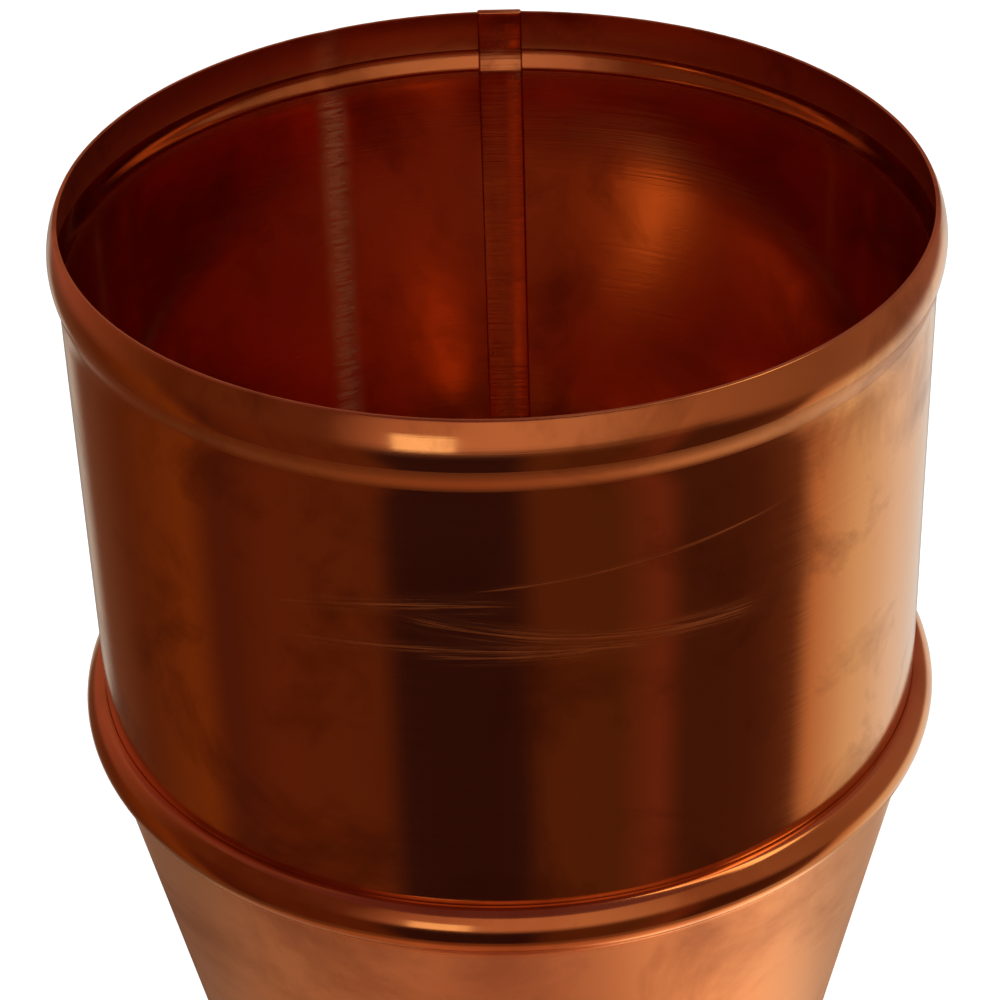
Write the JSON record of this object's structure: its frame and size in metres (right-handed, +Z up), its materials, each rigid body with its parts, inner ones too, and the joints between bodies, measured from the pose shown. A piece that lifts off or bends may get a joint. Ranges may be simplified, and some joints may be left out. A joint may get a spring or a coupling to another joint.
{
  "type": "manual rain gauge",
  "caption": "Copper rain gauge: open catch cylinder with a beaded rim and tapered neck on a slim case, with funnel, strainer, glass measure and inner can inside.",
  "frame": {"origin": "centre of the flat foot, on the surface that the gauge stands on", "axes": "+Z up along the axis of the gauge, from the foot to the rim; +Y towards the lock seam at the back of the catch cylinder; +X to the right, through the right ear of the bail"},
  "size_m": [0.1353, 0.1353, 0.4206],
  "materials": {
    "copper_wall": "bright sheet copper, handled",
    "copper_neck": "satin sheet copper",
    "copper_collar": "bright sheet copper with a hemmed edge",
    "copper_funnel": "satin sheet copper",
    "copper_case": "sheet copper, lightly brushed",
    "copper_inner": "dull sheet copper",
    "brass_fitting": "brushed brass",
    "brass_gauze": "woven brass wire",
    "solder": "dull soft solder",
    "pad_rubber": "matt black rubber",
    "tube_glass": "clear glass with enamel graduations"
  },
  "bodies": {
    "case": {"case_wall": "copper_case", "case_floor": "copper_case", "splayed_foot": "copper_neck", "foot_ring": "brass_fitting"},
    "inner_can": {"inner_can_wall": "copper_inner", "inner_can_floor": "copper_inner", "tube_seat": "brass_fitting", "seat_pad": "pad_rubber", "tube_guide": "brass_fitting", "bail_ear_left": "brass_fitting", "bail_ear_right": "brass_fitting", "ear_rivet_left_upper": "copper_inner", "ear_rivet_left_lower": "copper_inner", "ear_rivet_right_upper": "copper_inner", "ear_rivet_right_lower": "copper_inner"},
    "bail": {"bail_handle": "brass_fitting"},
    "measuring_tube": {"glass_tube": "tube_glass", "tube_foot": "brass_fitting", "tube_ferrule": "brass_fitting"},
    "collector": {"catch_cylinder": "copper_wall", "tapered_neck": "copper_neck", "slip_collar": "copper_collar", "catch_funnel": "copper_funnel", "solder_ring": "solder", "spout_tube": "copper_funnel"},
    "strainer": {"strainer_ring": "brass_fitting", "strainer_gauze": "brass_gauze", "strainer_loop": "brass_fitting"}
  },
  "joints": [
    {"name": "inner_can_lift", "type": "slide", "parent": "case", "child": "inner_can", "axis": [0, 0, 1], "range_m": [0, 0.26]},
    {"name": "bail_swing", "type": "hinge", "parent": "inner_can", "child": "bail", "pos_m": [0, 0, 0.23756], "axis": [-1, 0, 0], "range_deg": [0, 70]},
    {"name": "measuring_tube_lift", "type": "slide", "parent": "inner_can", "child": "measuring_tube", "axis": [0, 0, 1], "range_m": [0, 0.27]},
    {"name": "collector_lift", "type": "slide", "parent": "measuring_tube", "child": "collector", "axis": [0, 0, 1], "range_m": [0, 0.1]},
    {"name": "strainer_lift", "type": "slide", "parent": "collector", "child": "strainer", "axis": [0, 0, 1], "range_m": [0, 0.14]}
  ]
}
